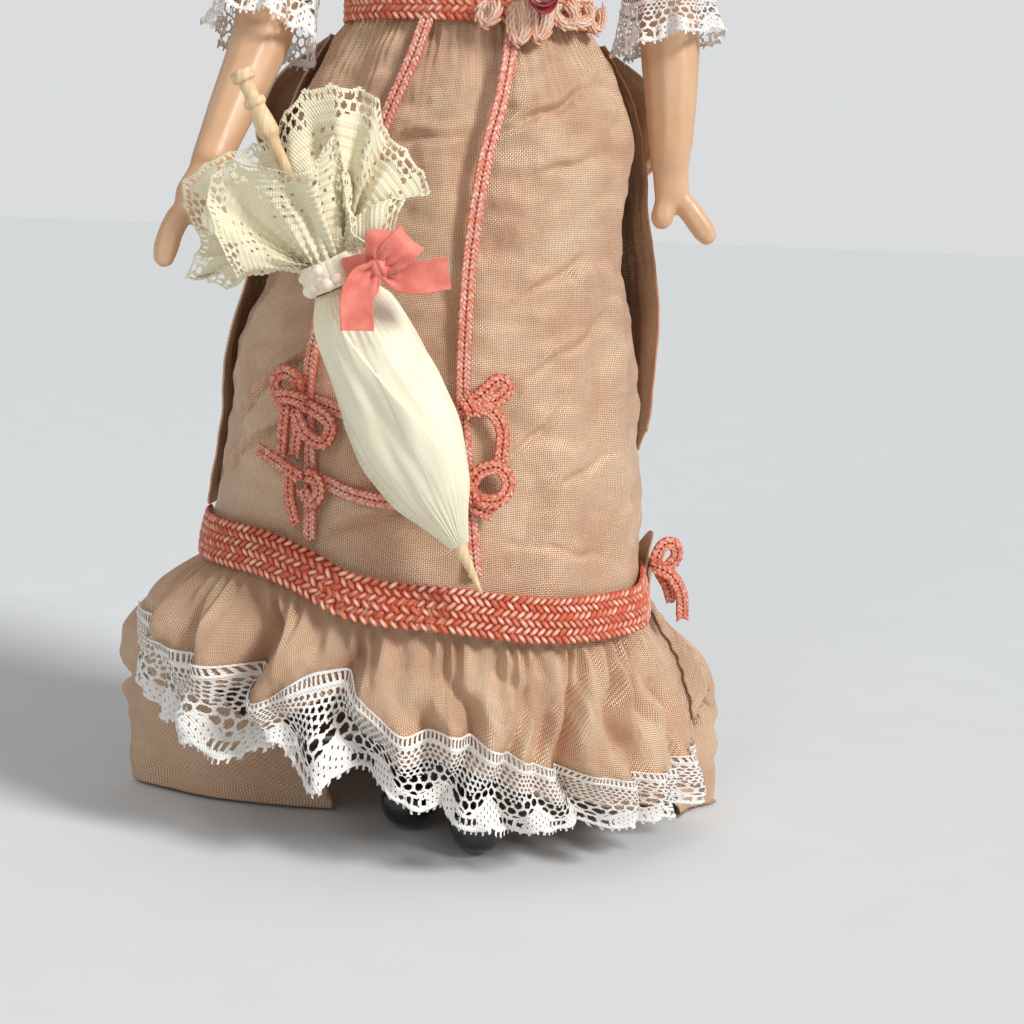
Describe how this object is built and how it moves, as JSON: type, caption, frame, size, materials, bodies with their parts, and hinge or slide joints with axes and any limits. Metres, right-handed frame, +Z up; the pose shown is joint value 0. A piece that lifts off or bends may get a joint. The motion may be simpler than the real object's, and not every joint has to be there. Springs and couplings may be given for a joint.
{
  "type": "miniature doll",
  "caption": "Standing doll's-house lady in a laced and braided bustle dress, with swinging arms and legs, holding a furled lace parasol.",
  "frame": {"origin": "middle of the figure's box seen from above, on the floor under the shoes and the train", "axes": "+Z up, the lady faces -Y, and her left side is towards +X"},
  "size_m": [0.0711, 0.0608, 0.1544],
  "materials": {
    "silk": "shot plain weave, soft sheen",
    "coral_trim": "rayon braid and ribbon, satin",
    "white_lace": "cotton lace, matt",
    "cream_cloth": "fine cotton lawn and lace, matt",
    "beads": "small pearl beads, satin",
    "porcelain": "smooth, low sheen, shoes painted gloss black",
    "hair": "mohair strands, low sheen",
    "muslin": "stuffed plain muslin, matt",
    "steel_wire": "drawn wire",
    "red_ribbon": "narrow satin ribbon",
    "wood": "turned pale hardwood, oiled"
  },
  "bodies": {
    "torso": {"bodice": "silk", "skirt": "silk", "front_flounce": "silk", "train_flounce": "silk", "back_drape": "silk", "bustle_puff": "silk", "waist_belt": "coral_trim", "waist_gimp": "coral_trim", "hem_braid": "coral_trim", "cord_centre": "coral_trim", "cord_side": "coral_trim", "cord_cross_upper": "coral_trim", "cord_cross_lower": "coral_trim", "bow_side_upper": "coral_trim", "bow_side_lower": "coral_trim", "bow_centre_upper": "coral_trim", "bow_centre_lower": "coral_trim", "side_bow": "coral_trim", "collar_lace": "white_lace", "flounce_lace": "white_lace", "head_shoulder_plate": "porcelain", "hair_cap": "hair", "hair_bun": "hair", "cloth_torso": "muslin", "waist_rose": "red_ribbon"},
    "left_arm": {"left_arm_wire": "steel_wire", "left_upper_arm": "muslin", "left_forearm": "porcelain", "left_sleeve": "silk", "left_sleeve_trim": "coral_trim", "left_cuff_lace": "white_lace"},
    "right_arm": {"right_arm_wire": "steel_wire", "right_upper_arm": "muslin", "right_forearm": "porcelain", "right_sleeve": "silk", "right_sleeve_trim": "coral_trim", "right_cuff_lace": "white_lace", "parasol_stick": "wood", "parasol_canopy": "cream_cloth", "parasol_band": "beads", "parasol_lace": "cream_cloth", "parasol_ribbon": "coral_trim"},
    "left_leg": {"left_leg_wire": "steel_wire", "left_thigh": "muslin", "left_shin_shoe": "porcelain"},
    "right_leg": {"right_leg_wire": "steel_wire", "right_thigh": "muslin", "right_shin_shoe": "porcelain"}
  },
  "joints": [
    {"name": "left_shoulder", "type": "hinge", "parent": "torso", "child": "left_arm", "pos_m": [0.02065, -0.0007, 0.119], "axis": [-1, 0, 0], "range_deg": [0, 90]},
    {"name": "right_shoulder", "type": "hinge", "parent": "torso", "child": "right_arm", "pos_m": [-0.01455, -0.0007, 0.119], "axis": [-1, 0, 0], "range_deg": [0, 90]},
    {"name": "left_hip", "type": "hinge", "parent": "torso", "child": "left_leg", "pos_m": [0.00885, -0.0007, 0.071], "axis": [-1, 0, 0], "range_deg": [-14, 4]},
    {"name": "right_hip", "type": "hinge", "parent": "torso", "child": "right_leg", "pos_m": [-0.00275, -0.0007, 0.071], "axis": [-1, 0, 0], "range_deg": [-10, 12]}
  ]
}
